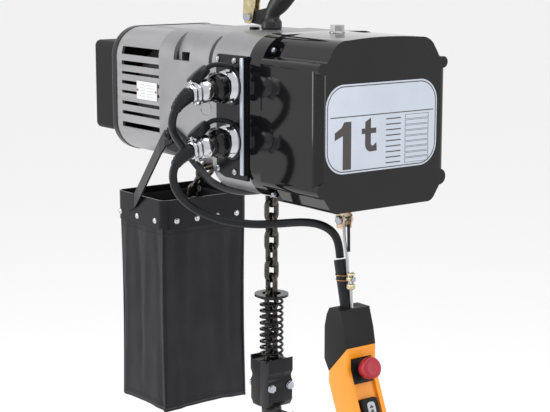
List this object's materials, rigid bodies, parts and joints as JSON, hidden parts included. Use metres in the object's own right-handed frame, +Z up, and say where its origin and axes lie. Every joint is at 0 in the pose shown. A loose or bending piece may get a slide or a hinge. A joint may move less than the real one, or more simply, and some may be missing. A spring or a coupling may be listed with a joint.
{
  "type": "electric chain hoist",
  "caption": "Electric chain hoist with top hook, motor and gear housing, control cover, chain bag, load chain with buffered hook block and swivel hook, and hanging push-button pendant.",
  "frame": {"origin": "saddle of the top hook, where the hoist hangs, on the load line", "axes": "+X along the motor axis towards the control cover, -Y towards the cable sockets, +Z up"},
  "size_m": [0.622, 0.3468, 0.7745],
  "materials": {
    "forged_black": "black phosphate, satin",
    "zinc_gold": "yellow zinc passivate",
    "steel": "machined",
    "zinc": "bright zinc",
    "chrome": "polished",
    "grey_paint": "metallic grey, satin",
    "black_gloss": "gloss black",
    "black_satin": "satin black",
    "black_plastic": "moulded",
    "label": "printed foil",
    "laminations": "varnished",
    "copper": "enamelled wire",
    "chain": "hardened, oiled",
    "cast": "as cast",
    "contactor": "moulded",
    "rubber": "smooth",
    "fabric": "woven polyester",
    "amber": "satin moulded",
    "red": "satin moulded",
    "spring": "gloss black"
  },
  "bodies": {
    "hook": {"top_hook": "forged_black", "top_hook_nut": "steel", "thrust_bearing": "steel", "top_latch_bolt": "zinc"},
    "top_latch": {"top_latch": "zinc_gold"},
    "housing": {"suspension_block": "steel", "motor_shell": "grey_paint", "motor_end_ring": "black_gloss", "fan_cover": "black_satin", "nameplates": "label", "gear_case": "grey_paint", "middle_frame": "grey_paint", "connector_plate": "black_satin", "housing_fasteners": "zinc", "control_cover": "black_gloss", "stator_core": "laminations", "stator_windings": "copper", "brake_magnet": "steel", "shaft_bearings": "steel", "chain_guide": "cast", "control_gear": "contactor", "receptacles": "chrome", "cable_plugs": "chrome", "plug_boots": "rubber", "bag_brackets": "black_satin", "slack_chain": "chain", "bag_rim": "black_satin", "bag_rivets": "zinc", "bag_straps": "black_satin", "bag_fabric": "fabric", "rope_eye": "zinc_gold", "control_cable": "rubber", "power_cable": "rubber", "power_coil": "rubber", "power_plug": "rubber"},
    "limit_lever": {"limit_lever": "steel"},
    "rotor": {"motor_shaft": "steel", "rotor_core": "laminations", "cooling_fan": "black_plastic", "brake_disc": "steel"},
    "layshaft": {"intermediate_gear": "steel"},
    "load_wheel": {"output_gear": "steel", "load_wheel": "steel"},
    "hook_block": {"load_chain": "chain", "hook_block": "black_satin", "block_bolts": "zinc", "buffer_spring": "spring"},
    "buffer_plate": {"buffer_plate": "black_gloss"},
    "bottom_hook": {"bottom_hook": "forged_black", "bottom_hook_nut": "steel", "bottom_latch_bolt": "zinc"},
    "bottom_latch": {"bottom_latch": "zinc_gold"},
    "pendant": {"pendant_hood": "black_plastic", "pendant_grip": "amber", "strain_sleeve": "rubber", "rope_clip": "zinc_gold", "strain_wire": "steel"},
    "estop_button": {"estop_button": "red"},
    "up_button": {"up_button": "black_plastic"},
    "down_button": {"down_button": "black_plastic"}
  },
  "joints": [
    {"name": "hook_swivel", "type": "hinge", "parent": "hook", "child": "housing", "pos_m": [0, 0, -0.1], "axis": [0, 0, 1], "continuous": true},
    {"name": "top_latch_hinge", "type": "hinge", "parent": "hook", "child": "top_latch", "pos_m": [-0.02649, -0.01408, -0.084], "axis": [-0.4695, 0.8829, 0], "range_deg": [0, 30], "stiffness_Nm_per_rad": 0.3, "springref_deg": -17.19},
    {"name": "limit_lever_hinge", "type": "hinge", "parent": "housing", "child": "limit_lever", "pos_m": [0.06, 0, -0.316], "axis": [0, 1, 0], "range_deg": [0, 4], "stiffness_Nm_per_rad": 4, "springref_deg": -2.86},
    {"name": "load_wheel_spin", "type": "hinge", "parent": "housing", "child": "load_wheel", "pos_m": [0, 0.03116, -0.198], "axis": [1, 0, 0], "range_deg": [-107.5, 136.5]},
    {"name": "layshaft_spin", "type": "hinge", "parent": "housing", "child": "layshaft", "pos_m": [-0.05, -0.01147, -0.1558], "axis": [1, 0, 0], "range_deg": [-690, 545]},
    {"name": "rotor_spin", "type": "hinge", "parent": "housing", "child": "rotor", "pos_m": [-0.18, 0, -0.198], "axis": [1, 0, 0], "range_deg": [-3300, 4150]},
    {"name": "chain_lift", "type": "slide", "parent": "housing", "child": "hook_block", "axis": [0, 0, 1], "range_m": [-0.081, 0.064], "deforming": ["slack_chain"]},
    {"name": "buffer_compress", "type": "slide", "parent": "hook_block", "child": "buffer_plate", "axis": [0, 0, -1], "range_m": [0, 0.045], "stiffness_N_per_m": 3000, "deforming": ["buffer_spring"]},
    {"name": "load_hook_swivel", "type": "hinge", "parent": "hook_block", "child": "bottom_hook", "pos_m": [0, 0, -0.608], "axis": [0, 0, 1], "continuous": true},
    {"name": "bottom_latch_hinge", "type": "hinge", "parent": "bottom_hook", "child": "bottom_latch", "pos_m": [0.02649, 0.01408, -0.6395], "axis": [-0.4695, 0.8829, 0], "range_deg": [0, 30], "stiffness_Nm_per_rad": 0.3, "springref_deg": -17.19},
    {"name": "pendant_swing", "type": "hinge", "parent": "housing", "child": "pendant", "pos_m": [0.203, -0.04, -0.322], "axis": [0, 1, 0], "range_deg": [-10, 10], "stiffness_Nm_per_rad": 1, "springref_deg": -6.03, "deforming": ["control_cable"]},
    {"name": "estop_push", "type": "slide", "parent": "pendant", "child": "estop_button", "axis": [-0.9273, 0, -0.3743], "range_m": [0, 0.005], "stiffness_N_per_m": 800},
    {"name": "up_push", "type": "slide", "parent": "pendant", "child": "up_button", "axis": [-0.9273, 0, -0.3743], "range_m": [0, 0.003], "stiffness_N_per_m": 600},
    {"name": "down_push", "type": "slide", "parent": "pendant", "child": "down_button", "axis": [-0.9273, 0, -0.3743], "range_m": [0, 0.003], "stiffness_N_per_m": 600}
  ],
  "couplings": [
    {"joint": "layshaft_spin", "follows": "load_wheel_spin", "ratio": -5},
    {"joint": "rotor_spin", "follows": "load_wheel_spin", "ratio": 30},
    {"joint": "chain_lift", "follows": "load_wheel_spin", "m_per_rad": -0.033423}
  ]
}
